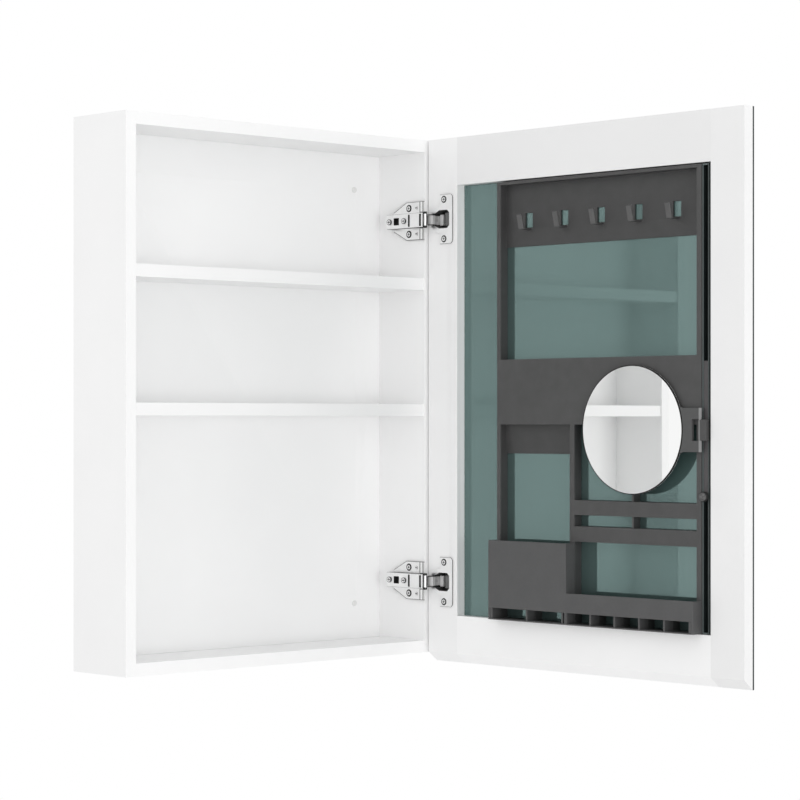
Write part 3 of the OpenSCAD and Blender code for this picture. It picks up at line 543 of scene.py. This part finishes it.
# %% [markdown]
# ## Bright faces and painted shade in the gaps
# A small hinge reads as bright sheet with thin dark lines between its parts: the gaps, the turned edges
# and the rings round the screws, where light goes in and hardly comes out. Many are finer than a pixel,
# and a plain metal would lose them. So each hinge part is bright on its face and carries painted shade
# behind it, and further masks add its own lines of painted shade and patches of painted light. Heights
# are measured from the middle of the nearer hinge, so one finish serves both hinges.

# %% Where the hinges are
HALF_PLATE = 24.2 * MM
PLATE_SHEET = 2.5 * MM
plates_low, plates_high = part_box("hinge_plates")
plate_face_x = plates_high.x - PLATE_SHEET
LOWER_HINGE_Z, UPPER_HINGE_Z = plates_low.z + HALF_PLATE, plates_high.z - HALF_PLATE


def off_hinge(finish):
    """Height from the nearer hinge's middle: | |z - middle of both| - half their distance |."""
    off_middle = finish.math("ABSOLUTE", finish.past("Z", (LOWER_HINGE_Z + UPPER_HINGE_Z) / 2))
    return finish.math("ABSOLUTE", finish.minus(off_middle, (UPPER_HINGE_Z - LOWER_HINGE_Z) / 2))


print("hinges at z =", round(LOWER_HINGE_Z, 4), round(UPPER_HINGE_Z, 4))

# %% Faced steel
FACE_SKIN = 0.1 * MM
BRIGHT = Surface(*grey(0.86, 0.92), metallic=1.0, roughness=0.3)
# The dark surface is painted shade, for gaps, edges and the sides behind a face.
PAINTED_SHADE = Surface(*grey(0.02, 0.03), metallic=0.3, roughness=0.5)
HEAD_RIM = (2.8 * MM, 3.4 * MM)


def faced(name, face_x, masks, bright=BRIGHT, dark=PAINTED_SHADE):
    """Steel that is bright on its face, with painted shade where x is over face_x + FACE_SKIN.

    Each further mask takes the finish and the painted-shade mask so far, and gives the new one.
    """
    finish = pressed(name)
    gloom = finish.over(finish.axis("X"), face_x + FACE_SKIN)
    for mask in masks:
        gloom = mask(finish, gloom)
    return finish.blend(gloom, bright, dark).material


def with_lines(finish, gloom, lines):
    """Adds lines of painted shade to a mask: the largest of the mask and of each line times its darkness."""
    for line, darkness in lines:
        gloom = finish.larger(gloom, finish.product(line, darkness))
    return gloom


def rings(y_values, off, inner, outer):
    """Painted shadow round screws, where sqrt((y - screw y)^2 + (height - off)^2) is from inner to outer."""
    def mask(finish, gloom):
        height = finish.minus(off_hinge(finish), off)
        for y in y_values:
            away = finish.math("SQRT", finish.squares(height, finish.past("Y", y)))
            ring = finish.product(finish.over(away, inner), finish.under(away, outer))
            gloom = finish.larger(gloom, ring)
        return gloom
    return mask


print("bright and dark steel:", BRIGHT.light, PAINTED_SHADE.dark)

# %% [markdown]
# ## Mounting plates
# A plate is a pressed sheet on the side of the case, with a raised lip at the front and sloping corners
# at the back. A ring of painted shadow lies round each of its screws. The hinge's arm covers its middle,
# so little light gets to that block, which carries painted shade, as do the plate's outline and the lip's
# shadow. Dark lines could be drawn as thin strips of mesh, but a line that is worked out from the plate's
# own edges and slope needs none and can't drift off them.

# %% Mounting plates
OUTLINE = 0.6 * MM
LIP_SHADOW, LIP_SHADOW_HALF = 5.3 * MM, 0.9 * MM
ARM_BLOCK_HALF = 9.0 * MM
CORNER_NORMAL, CORNER_DISTANCE = (0.46, 0.888), 34.6 * MM
END_SKIN, END_LINE = 0.2 * MM, 0.5 * MM
EDGE_TONE = 0.8
PLATE_SCREW_INSET, PLATE_SCREW_OFF, PLATE_SCREW_PROUD = 25.7 * MM, 16.5 * MM, 0.55 * MM
PLATE_RING = (3.2 * MM, 4.7 * MM)
plate_screw_y = [plates_low.y + PLATE_SCREW_INSET]


def plate_lines(finish, gloom):
    """Painted shade: the plate's outline, one line on its bright front end, the lip's shadow and the block.
    """
    off, inwards = off_hinge(finish), finish.past("Y", plates_low.y)
    edge = finish.over(off, HALF_PLATE - OUTLINE)
    across = finish.math("MULTIPLY_ADD", inwards, CORNER_NORMAL[0], finish.product(off, CORNER_NORMAL[1]))
    corner = finish.over(across, CORNER_DISTANCE)
    lip_shadow = finish.about(inwards, LIP_SHADOW, LIP_SHADOW_HALF)
    end = finish.under(inwards, END_SKIN)
    end_line = finish.product(end, finish.about(finish.axis("X"), plate_face_x - END_LINE, END_LINE))
    block = finish.under(off, ARM_BLOCK_HALF)
    gloom = finish.product(gloom, finish.minus(1.0, end))
    lines = ((edge, EDGE_TONE), (corner, EDGE_TONE), (lip_shadow, 1.0), (end_line, 1.0), (block, 1.0))
    return with_lines(finish, gloom, lines)


plate_rings = rings(plate_screw_y, PLATE_SCREW_OFF, *PLATE_RING)
plate_nickel = faced("hinge_plate_nickel", plate_face_x, [plate_lines, plate_rings])
plate_screw_rings = rings(plate_screw_y, PLATE_SCREW_OFF, *HEAD_RIM)
plate_screw_steel = faced("plate_screw_steel", plate_face_x - PLATE_SCREW_PROUD, [plate_screw_rings])
print("plates:", plate_nickel.name, plate_screw_steel.name)

# %% [markdown]
# ## Hinge arms
# The arm lies over the plate: a channel with its sides turned down, two screws and a slit across it. Its
# sides show as two thin lines of painted shade, and the slit's edges carry painted shade. The slit is
# placed from the pivot of the outer link, because both belong to the arm, so it stays put when a plate is
# moved.

# %% Hinge arms
ARM_EDGE = 8.9 * MM
SLIT_PLACE, SLIT_HALF_WIDTH, SLIT_HALF_LENGTH = 25.3 * MM, 1.6 * MM, 7.6 * MM
SIDE_TONE, SLIT_TONE = 0.6, 0.9
ARM_SCREW_INSET = 3.7 * MM
ARM_SCREW_RIM = (3.0 * MM, 3.8 * MM)
arms_face_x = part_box("hinge_arms")[0].x
arm_screws_low, arm_screws_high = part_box("arm_screws")
arm_screw_y = [arm_screws_low.y + ARM_SCREW_INSET, arm_screws_high.y - ARM_SCREW_INSET]


def arm_lines(finish, gloom):
    """Painted shade on the arm's side edges and on the edges of the slit across it."""
    off = off_hinge(finish)
    side = finish.over(off, ARM_EDGE)
    slit = finish.about(finish.axis("Y"), PIVOT_OF["outer_link_swing"][1] + SLIT_PLACE, SLIT_HALF_WIDTH)
    slit = finish.product(slit, finish.under(off, SLIT_HALF_LENGTH))
    return with_lines(finish, gloom, ((side, SIDE_TONE), (slit, SLIT_TONE)))


arm_nickel = faced("hinge_arm_nickel", arms_face_x, [arm_lines])
arm_screw_rings = rings(arm_screw_y, 0.0, *ARM_SCREW_RIM)
arm_screw_steel = faced("arm_screw_steel", arm_screws_low.x, [arm_screw_rings])
print("arms:", arm_nickel.name, arm_screw_steel.name)

# %% [markdown]
# ## Hinge cups
# The cup sinks into the door and holds the links and a spring. Its plate lies on the door with a thin
# line of painted shadow round it. Inside, the wall beside the links carries painted light, and the
# spring's housing is dark steel in front with painted light further in. The cup's face lies at the lowest
# x, because the open door's inner face looks along -X.

# %% Hinge cups
CUP_LINE = 0.5 * MM
CUP_END_TONE, CUP_SIDE_TONE = 0.6, 0.35
LIT_HALF, LIT_REACH, LIT_TONE = 5.7 * MM, 7.0 * MM, 0.75
SPRING_FRONT = 5.0 * MM
CUP_SCREW_OFF = 24.9 * MM
CUP_RING = (3.2 * MM, 4.5 * MM)
cups_low, cups_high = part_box("hinge_cups")
CUP_HALF = LOWER_HINGE_Z - cups_low.z
cup_screws_low, cup_screws_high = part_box("cup_screws")
cup_screw_y = [(cup_screws_low.y + cup_screws_high.y) / 2]


def cup_inside(finish, gloom):
    """Painted light: takes LIT_TONE off the shade on the inner wall beside the links: mask * (1 - lit)."""
    middle = finish.under(off_hinge(finish), LIT_HALF)
    beside = finish.over(finish.axis("Y"), cups_high.y - LIT_REACH)
    lit = finish.product(finish.product(middle, beside), LIT_TONE)
    return finish.product(gloom, finish.minus(1.0, lit))


def cup_outline(finish, gloom):
    """Painted shadow: a thin line round the cup's plate, at its two ends and its hinge side."""
    ends = finish.over(off_hinge(finish), CUP_HALF - CUP_LINE)
    side = finish.over(finish.axis("Y"), cups_high.y - CUP_LINE)
    return with_lines(finish, gloom, ((ends, CUP_END_TONE), (side, CUP_SIDE_TONE)))


cup_rings = rings(cup_screw_y, CUP_SCREW_OFF, *CUP_RING)
cup_nickel = faced("hinge_cup_nickel", cups_low.x, [cup_inside, cup_rings, cup_outline])
cup_screw_rings = rings(cup_screw_y, CUP_SCREW_OFF, *HEAD_RIM)
cup_screw_steel = faced("cup_screw_steel", cup_screws_low.x, [cup_screw_rings])
housing = Surface(*grey(0.13, 0.16), metallic=0.3, roughness=0.4)
# The pale tone deep in the housing is painted light.
hollow_painted_light = Surface(*grey(0.96, 0.99), metallic=0.0, roughness=0.4)
spring_face_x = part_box("cup_springs")[0].x + SPRING_FRONT
spring_steel = faced("spring_housing_steel", spring_face_x, [], housing, hollow_painted_light)
print("cups:", cup_nickel.name, cup_screw_steel.name, spring_steel.name)

# %% [markdown]
# ## Hinge links
# Two links join arm and cup. The outer one carries painted shade, with a painted highlight on the rolled
# barrel round its pivot. The inner one is a bent strip that is brightest where it faces the light. On so
# short a bend the light alone gives no soft swell of brightness, so a painted highlight follows a curve
# along the strip instead.

# %% Links
BARREL_RADIUS = 2.45 * MM
GLINT_PLACE, GLINT_REACH = 1.5, 0.75


def barrelled(name, pivot):
    """Painted shade, with a painted highlight on the barrel within BARREL_RADIUS of the upright pivot."""
    finish = pressed(name)
    return finish.blend(finish.near_axis(pivot[0], pivot[1], BARREL_RADIUS), PAINTED_SHADE, BRIGHT).material


def strip_steel(name, node):
    """A strip whose painted highlight swells as 1 - ((x - middle) / reach)^2, and is 0 beyond the reach.

    GLINT_PLACE and GLINT_REACH give the middle and the reach as shares of half the strip's depth.
    """
    low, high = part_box(node)
    half = (high.x - low.x) / 2
    middle, reach = low.x + GLINT_PLACE * half, GLINT_REACH * half
    finish = pressed(name)
    away = finish.math("DIVIDE", finish.past("X", middle), reach)
    swell = finish.larger(finish.math("MULTIPLY_ADD", finish.product(away, away), -1.0, 1.0), 0.0)
    # The shadow and the glint are painted shade and a painted highlight.
    shadow = Surface(*grey(0.12, 0.14), metallic=0.4, roughness=0.45)
    glint = Surface(*grey(0.66, 0.74), metallic=0.2, roughness=0.35)
    return finish.blend(swell, shadow, glint).material


outer_steel = barrelled("outer_link_steel", PIVOT_OF["outer_link_swing"])
inner_steel = strip_steel("inner_link_steel", "inner_links")
print("links:", outer_steel.name, inner_steel.name)

# %% [markdown]
# ## Beech for the dowels
# The boards are joined with beech dowels, which are hidden in their holes and show only when a board is
# taken off. A ring pattern could be carved from a whole trunk's grain, but a thin rod shows only streaks.
# One noise, stretched along X as the case's dowels lie, gives both the streaks of colour and the open
# pores.

# %% Beech
WOOD_SCALES = (60.0, 900.0, 900.0)
WOOD_DEPTH = 0.03 * MM


def beech(name):
    """Dowel wood: shade and height both follow one noise, stretched along X."""
    finish = Finish(name).set(Specular_IOR_Level=0.3, Roughness=0.6)
    grain = finish.streaks(WOOD_SCALES, detail=5.0, roughness=0.6)
    finish.feed("Base Color", finish.shades(grain, (0.42, 0.27, 0.14), (0.6, 0.42, 0.24)))
    return finish.bump(grain, WOOD_DEPTH).material


dowel_beech = beech("dowel_beech")
print("wood:", dowel_beech.name)

# %% [markdown]
# ## Softened edges
# No board or moulding has a razor edge, and the highlight along an edge is what tells the eye how thick a
# board is. A bevel in the shader would show in a render, but the exported mesh would still be sharp. So a
# copy of each construction node gets its loose triangles merged, its flat faces joined again, and a small
# rounding on every sharp edge. The rounding only takes material away, so the piece stays inside its true
# size.

# %% Round the edges of a node
SAME_POINT = 1e-6
FLAT_ANGLE = math.radians(0.6)
SHARP_ANGLE = math.radians(35.0)


def merged_copy(node, name):
    """The node's mesh with its loose triangles merged and its flat faces joined."""
    mesh = frame["nodes"][node].data.copy()
    mesh.name = name
    shell = bmesh.new()
    shell.from_mesh(mesh)
    bmesh.ops.remove_doubles(shell, verts=shell.verts, dist=SAME_POINT)
    bmesh.ops.dissolve_limit(shell, angle_limit=FLAT_ANGLE, verts=shell.verts, edges=shell.edges)
    shell.to_mesh(mesh)
    shell.free()
    return mesh


def softened(node, name, finish, width, steps=2):
    """A copy of the node whose edges sharper than SHARP_ANGLE are rounded by that width."""
    mesh = merged_copy(node, name)
    mesh.materials.clear()
    mesh.materials.append(finish)
    mesh.shade_smooth()
    mesh.set_sharp_from_angle(angle=SHARP_ANGLE)
    piece = bpy.data.objects.new(name, mesh)
    bpy.context.scene.collection.objects.link(piece)
    bevel = piece.modifiers.new("soft_edges", "BEVEL")
    bevel.width = width
    bevel.segments = steps
    bevel.limit_method = "ANGLE"
    bevel.angle_limit = SHARP_ANGLE
    bevel.harden_normals = True
    bevel.use_clamp_overlap = True
    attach(piece, BODY_OF[node])
    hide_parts(node)
    return piece


print("edges over", round(math.degrees(SHARP_ANGLE)), "degrees will be rounded")

# %% [markdown]
# ## Dress every node
# Each board, mirror, moulding and pressing now gets its finish and its rounding. One width for all would
# be simpler, but a board's edge is broken by a third of a millimetre, ground glass by a little less, and
# thin sheet by a tenth or two, or its edges would meet in the middle.

# %% Boards of the case and door
# The bottom rail takes the case's white as painted light; the free stile and top rail carry painted shade.
BOARDS = {
    "left_side": case_and_lit_rail_white, "right_side": case_and_lit_rail_white, "top_board": case_and_lit_rail_white, "bottom_board": case_and_lit_rail_white,
    "back_panel": case_and_lit_rail_white, "upper_shelf": case_and_lit_rail_white, "lower_shelf": case_and_lit_rail_white,
    "hinge_stile": door_white, "free_stile": free_stile_shaded_white, "top_rail": top_rail_shaded_white, "bottom_rail": case_and_lit_rail_white,
}
BOARD_EDGE = 0.35 * MM
boards = [softened(node, node + "_board", white, BOARD_EDGE) for node, white in BOARDS.items()]
print("boards:", len(boards))

# %% Mirrors of the door
door_mirrors = [softened("front_mirror", "front_mirror_glass", outer_mirror, 0.3 * MM, steps=1),
                softened("back_mirror", "back_mirror_glass", tinted_mirror, 0.2 * MM, steps=1)]
print("door mirrors:", [piece.name for piece in door_mirrors])

# %% Plastic mouldings
MOULDINGS = {
    "organiser_frame": (organiser_grey, 0.3), "organiser_tray": (tray_lit_grey, 0.35),
    "guide_channel": (channel_black, 0.2), "slider": (slider_grey, 0.15), "slide_clip": (clip_grey, 0.2),
    "mirror_arm": (arm_grey, 0.15), "lock_knob": (knob_grey, 0.15),
}
mouldings = [softened(node, node + "_moulding", plastic, edge_mm * MM)
             for node, (plastic, edge_mm) in MOULDINGS.items()]
print("mouldings:", len(mouldings))

# %% Hinge steel
PRESSINGS = {
    "hinge_plates": (plate_nickel, 0.2), "hinge_arms": (arm_nickel, 0.25), "outer_links": (outer_steel, 0.15),
    "inner_links": (inner_steel, 0.1), "hinge_cups": (cup_nickel, 0.15), "cup_springs": (spring_steel, 0.3),
    "plate_screws": (plate_screw_steel, 0.12), "arm_screws": (arm_screw_steel, 0.12),
    "cup_screws": (cup_screw_steel, 0.12),
}
pressings = [softened(node, node + "_pressing", steel, edge_mm * MM)
             for node, (steel, edge_mm) in PRESSINGS.items()]
print("pressings:", len(pressings))

# %% [markdown]
# ## Nodes that keep their own meshes
# Dowels, pins, the rod and the wall caps are hidden or very small, and the round mirror's edge sits
# inside its dish. A rounding would hardly be seen on them, so they keep their meshes and get a finish
# alone.

# %% Finish the other nodes
PLAIN_NODES = {
    "case_dowels": dowel_beech, "rail_dowels": dowel_beech, "arm_pins": pin_steel, "hinge_rod": rod_steel,
    "round_mirror": clear_mirror, "wall_screw_caps": cap_white,
}
for node, finish in PLAIN_NODES.items():
    materials = frame["nodes"][node].data.materials
    materials.clear()
    materials.append(finish)
print("nodes with their own meshes:", len(PLAIN_NODES))

# %% [markdown]
# ## Floor
# The photograph is a cut-out on white. A plane with a hard edge would show as a horizon, so a wide pale
# disc lies well under the hanging cabinet and fades to plain white with distance from it. The disc is a
# function of two parameters, the radius and the turn, worked out for all points at once.

# %% Floor
FLOOR_Z = -0.95
FLOOR_RADIUS = 6.0
CIRCLES, SPOKES = 24, 64


def disc_points(reach, height):
    """A flat disc: x = radius * cos(turn), y = radius * sin(turn), z = height."""
    radii = np.linspace(0.0, reach, CIRCLES)
    turns = np.linspace(0.0, 2 * math.pi, SPOKES, endpoint=False)
    radius, turn = np.meshgrid(radii, turns)
    points = np.stack([radius * np.cos(turn), radius * np.sin(turn), np.full_like(radius, height)], -1)
    return points.reshape(-1, 3)


def disc_faces():
    """A face is a point, the next one out, and the same two on the next spoke. The last meets the first."""
    spoke, circle = np.meshgrid(np.arange(SPOKES), np.arange(CIRCLES - 1), indexing="ij")
    here = spoke * CIRCLES + circle
    beside = (spoke + 1) % SPOKES * CIRCLES + circle
    return np.stack([here, here + 1, beside + 1, beside], -1).reshape(-1, 4)


floor_mesh = bpy.data.meshes.new("studio_floor")
floor_mesh.from_pydata(disc_points(FLOOR_RADIUS, FLOOR_Z).tolist(), [], disc_faces().tolist())
floor = bpy.data.objects.new("studio_floor", floor_mesh)
bpy.context.scene.collection.objects.link(floor)
print("floor points:", len(floor_mesh.vertices), "faces:", len(floor_mesh.polygons))

# %% Floor finish
WHITE = (1.0, 1.0, 1.0, 1.0)
FADE_START, FADE_END = 1.3, 2.4
pale_floor = Finish("pale_floor").set(Roughness=0.8, Specular_IOR_Level=0.1)
pale_floor.feed("Base Color", pale_floor.shades(pale_floor.noise(3.0), *grey(0.92, 0.95)))
away = pale_floor.node("ShaderNodeVectorMath", {0: pale_floor.coordinates}, operation="LENGTH")
fade = pale_floor.node("ShaderNodeMapRange", {"Value": away.outputs["Value"], "From Min": FADE_START,
                                              "From Max": FADE_END})
faded = pale_floor.product(fade.outputs["Result"], pale_floor.looked_at())
glow = pale_floor.node("ShaderNodeEmission", {"Color": WHITE, "Strength": 1.0})
pale_floor.mix_into(pale_floor.tree.nodes["Material Output"], faded, pale_floor.shader.outputs["BSDF"],
                    glow.outputs["Emission"])
floor_mesh.materials.append(pale_floor.material)
print("floor fades to white between", FADE_START, "and", FADE_END, "m from the cabinet")

# %% [markdown]
# ## Sky and lamp
# The cabinet is lit evenly from all round, as in a white studio. A sky that is bright enough to look
# white would also burn out the boards. So the world has two strengths: the camera and reflections see
# pure white, and the light that falls on the cabinet is a little less. One large soft lamp in front, low
# and to the left, adds to the slight difference in tone between the boards, beside the painted light and
# shade in their laminates. A small lamp would throw hard shadows, which the photograph doesn't have.

# %% Sky
SKY_STRENGTH = 0.89
world = bpy.data.worlds.new("white_studio")
bpy.context.scene.world = world
world.use_nodes = True
sky = NodeTree(world.node_tree)
even_light = sky.tree.nodes["Background"]
even_light.inputs["Color"].default_value = WHITE
even_light.inputs["Strength"].default_value = SKY_STRENGTH
backdrop = sky.node("ShaderNodeBackground", {"Color": WHITE, "Strength": 1.0})
sky.mix_into(sky.tree.nodes["World Output"], sky.looked_at(), even_light.outputs["Background"],
             backdrop.outputs["Background"])
print("sky strength:", SKY_STRENGTH)


# %% Lamp
def soft_lamp(name, place, aim, side, watts):
    """A square lamp turned to its aim: tilt = atan2(level distance, drop), heading = atan2(-x, y)."""
    data = bpy.data.lights.new(name, "AREA")
    data.shape = "SQUARE"
    data.size = side
    data.energy = watts
    lamp = bpy.data.objects.new(name, data)
    lamp.location = place
    x, y, z = np.subtract(aim, place)
    lamp.rotation_euler = (math.atan2(math.hypot(x, y), -z), 0.0, math.atan2(-x, y))
    bpy.context.scene.collection.objects.link(lamp)
    return lamp


front_lamp = soft_lamp("front_lamp", place=(-1.4, -4.4, -0.5), aim=(0.0, -0.1, 0.0), side=1.8, watts=42.0)
turns = [round(math.degrees(angle), 1) for angle in front_lamp.rotation_euler]
print("lamp:", front_lamp.name, "turned by", turns)

# %% [markdown]
# ## Last settings
# Blender's usual view softens bright colours, so white wouldn't come out white. The Standard view shows a
# colour as it is written.

# %% Colour handling
bpy.context.scene.view_settings.view_transform = "Standard"
print("view:", bpy.context.scene.view_settings.view_transform)
